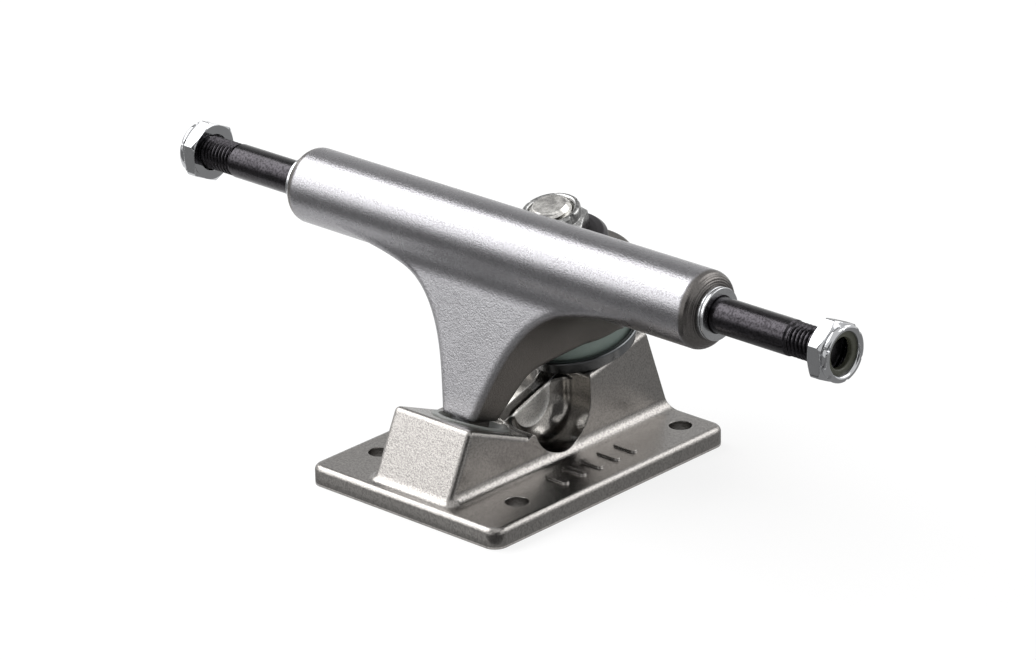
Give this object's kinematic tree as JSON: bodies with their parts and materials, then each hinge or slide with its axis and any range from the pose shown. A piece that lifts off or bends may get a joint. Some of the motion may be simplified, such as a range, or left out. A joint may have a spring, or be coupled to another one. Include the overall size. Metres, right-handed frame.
{
  "type": "skateboard truck",
  "caption": "Skateboard truck with a cast baseplate, a kingpin with bushings, a steering hanger with a ball-ended nose, and a threaded axle with speed washers and locking nuts.",
  "frame": {"origin": "centre of the four bolt holes on the underside, which is the face that meets the deck", "axes": "+X along the axle, +Y from the pivot housing towards the kingpin, +Z away from the deck"},
  "size_m": [0.192, 0.0759, 0.0617],
  "materials": {
    "baseplate_cast": "tumbled cast",
    "hanger_cast": "satin cast",
    "liner_urethane": "satin",
    "kingpin_steel": "zinc plated",
    "washer_steel": "zinc plated",
    "washer_dark": "blackened",
    "bushing_urethane": "satin",
    "nut_chrome": "polished",
    "insert_nylon": "satin",
    "axle_black": "black oxide"
  },
  "bodies": {
    "base": {"baseplate": "baseplate_cast", "pivot_cup": "liner_urethane", "kingpin": "kingpin_steel", "bottom_washer": "washer_steel", "bottom_bushing": "bushing_urethane", "top_bushing": "bushing_urethane", "top_washer": "washer_dark"},
    "hanger": {"hanger": "hanger_cast", "axle": "axle_black"},
    "kingpin_nut": {"kingpin_nut": "nut_chrome", "kingpin_nut_insert": "insert_nylon"},
    "axle_nut_left": {"axle_nut_left": "nut_chrome", "axle_nut_insert_left": "insert_nylon"},
    "axle_nut_right": {"axle_nut_right": "nut_chrome", "axle_nut_insert_right": "insert_nylon"},
    "washers_left": {"speed_washer_inner_left": "washer_steel", "speed_washer_outer_left": "washer_steel"},
    "washers_right": {"speed_washer_inner_right": "washer_steel", "speed_washer_outer_right": "washer_steel"}
  },
  "joints": [
    {"name": "hanger_steer", "type": "hinge", "parent": "base", "child": "hanger", "pos_m": [0, -0.02091, 0.01117], "axis": [0, 0.7768, 0.6297], "range_deg": [-15, 15], "stiffness_Nm_per_rad": 20, "deforming": ["bottom_bushing", "top_bushing"]},
    {"name": "kingpin_nut_off", "type": "slide", "parent": "base", "child": "kingpin_nut", "axis": [0, -0.2419, 0.9703], "range_m": [0, 0.012]},
    {"name": "axle_nut_left_off", "type": "slide", "parent": "hanger", "child": "axle_nut_left", "axis": [-1, 0, 0], "range_m": [0, 0.03]},
    {"name": "axle_nut_right_off", "type": "slide", "parent": "hanger", "child": "axle_nut_right", "axis": [1, 0, 0], "range_m": [0, 0.03]},
    {"name": "washers_left_slide", "type": "slide", "parent": "hanger", "child": "washers_left", "axis": [-1, 0, 0], "range_m": [0, 0.0288]},
    {"name": "washers_right_slide", "type": "slide", "parent": "hanger", "child": "washers_right", "axis": [1, 0, 0], "range_m": [0, 0.0288]}
  ]
}
